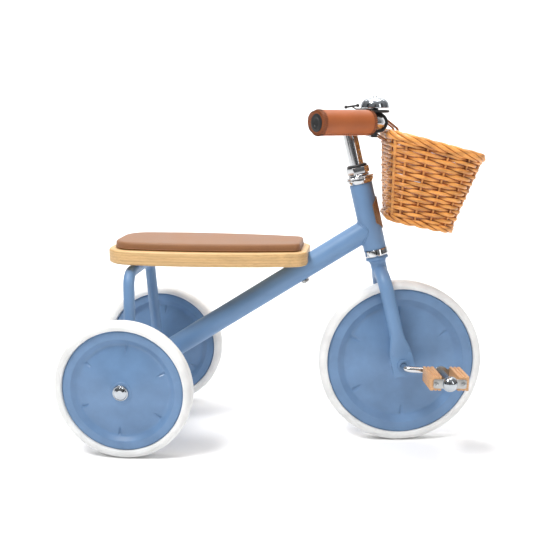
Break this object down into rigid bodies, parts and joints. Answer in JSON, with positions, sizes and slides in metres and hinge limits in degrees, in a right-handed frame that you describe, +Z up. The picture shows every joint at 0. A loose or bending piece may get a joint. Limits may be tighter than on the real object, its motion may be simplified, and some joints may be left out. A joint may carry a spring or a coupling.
{
  "type": "children's tricycle",
  "caption": "Small steel-framed children's tricycle with wooden seat, cushion, swept handlebar, bell, wicker basket, pedals on the front wheel and three dished wheels.",
  "frame": {"origin": "on the ground, in the mid-plane, half-way along the tricycle", "axes": "+X forward, +Y to the rider's left, +Z up; at rest the handlebar is turned 5 degrees and the front wheel 9 degrees to the left"},
  "size_m": [0.6648, 0.31, 0.5556],
  "materials": {
    "blue_paint": "satin powder coat, dusty blue",
    "blue_plastic": "moulded, satin, dusty blue",
    "tyre": "off-white foam rubber",
    "wood": "clear satin lacquer on pale ash",
    "cushion": "smooth brown leatherette",
    "grip_leather": "tan leather, whip-stitched",
    "chrome": "polished chrome plate",
    "black_plastic": "satin black",
    "wicker": "varnished honey willow",
    "strap_leather": "brown leather, cut edges",
    "bush": "dark nylon"
  },
  "bodies": {
    "frame": {"main_tube": "blue_paint", "head_tube": "blue_paint", "rear_axle_tube": "blue_paint", "seat_hoop": "blue_paint", "seat_bracket": "blue_paint", "seat_board": "wood", "seat_cushion": "cushion", "seat_bolt_front": "chrome", "seat_bolt_rear_right": "chrome", "seat_bolt_rear_left": "chrome", "head_badge": "strap_leather", "headset_upper_cup": "chrome", "headset_lower_cup": "chrome", "rear_axle": "chrome", "rear_cap_nut_right": "chrome", "rear_cap_nut_left": "chrome"},
    "steering": {"fork": "blue_paint", "fork_steerer": "blue_paint", "crown_race": "blue_paint", "headset_cone": "chrome", "headset_washer": "chrome", "headset_locknut": "chrome", "headset_seal": "black_plastic", "fork_bush_right": "bush", "fork_bush_left": "bush", "quill_stem": "chrome", "stem_bolt": "chrome", "handlebar": "chrome", "grip_right": "grip_leather", "grip_left": "grip_leather", "grip_plug_right": "black_plastic", "grip_plug_left": "black_plastic", "bell_base": "black_plastic", "bell_screw": "chrome", "bell_dome": "chrome", "basket": "wicker", "basket_strap_right": "strap_leather", "basket_strap_left": "strap_leather"},
    "bell_lever": {"bell_lever": "black_plastic"},
    "front_wheel": {"front_wheel_disc": "blue_plastic", "front_wheel_tyre": "tyre", "crank": "chrome"},
    "pedal_right": {"pedal_right_cage": "chrome", "pedal_right_block_front": "wood", "pedal_right_block_rear": "wood", "pedal_right_cap": "chrome"},
    "pedal_left": {"pedal_left_cage": "chrome", "pedal_left_block_front": "wood", "pedal_left_block_rear": "wood", "pedal_left_cap": "chrome"},
    "rear_wheel_right": {"rear_wheel_right_disc": "blue_plastic", "rear_wheel_right_tyre": "tyre", "rear_wheel_right_bush": "bush"},
    "rear_wheel_left": {"rear_wheel_left_disc": "blue_plastic", "rear_wheel_left_tyre": "tyre", "rear_wheel_left_bush": "bush"}
  },
  "joints": [
    {"name": "steering_turn", "type": "hinge", "parent": "frame", "child": "steering", "pos_m": [0.2011, 0, 0.132], "axis": [-0.2317, 0, 0.9728], "range_deg": [-50, 40]},
    {"name": "front_wheel_spin", "type": "hinge", "parent": "steering", "child": "front_wheel", "pos_m": [0.2011, 0, 0.132], "axis": [-0.1555, 0.9871, -0.0371], "continuous": true},
    {"name": "pedal_right_spin", "type": "hinge", "parent": "front_wheel", "child": "pedal_right", "pos_m": [0.25284, 0.00801, 0.12819], "axis": [-0.1555, 0.9871, -0.0371], "continuous": true},
    {"name": "pedal_left_spin", "type": "hinge", "parent": "front_wheel", "child": "pedal_left", "pos_m": [0.14935, -0.00801, 0.13581], "axis": [-0.1555, 0.9871, -0.0371], "continuous": true},
    {"name": "rear_wheel_right_spin", "type": "hinge", "parent": "frame", "child": "rear_wheel_right", "pos_m": [-0.2239, -0.1325, 0.109], "axis": [0, 1, 0], "continuous": true},
    {"name": "rear_wheel_left_spin", "type": "hinge", "parent": "frame", "child": "rear_wheel_left", "pos_m": [-0.2239, 0.1325, 0.109], "axis": [0, 1, 0], "continuous": true},
    {"name": "bell_lever_push", "type": "hinge", "parent": "steering", "child": "bell_lever", "pos_m": [0.15206, -0.04618, 0.53557], "axis": [-0.0009, 0.0202, 0.9998], "range_deg": [0, 30], "stiffness_Nm_per_rad": 0.02}
  ]
}
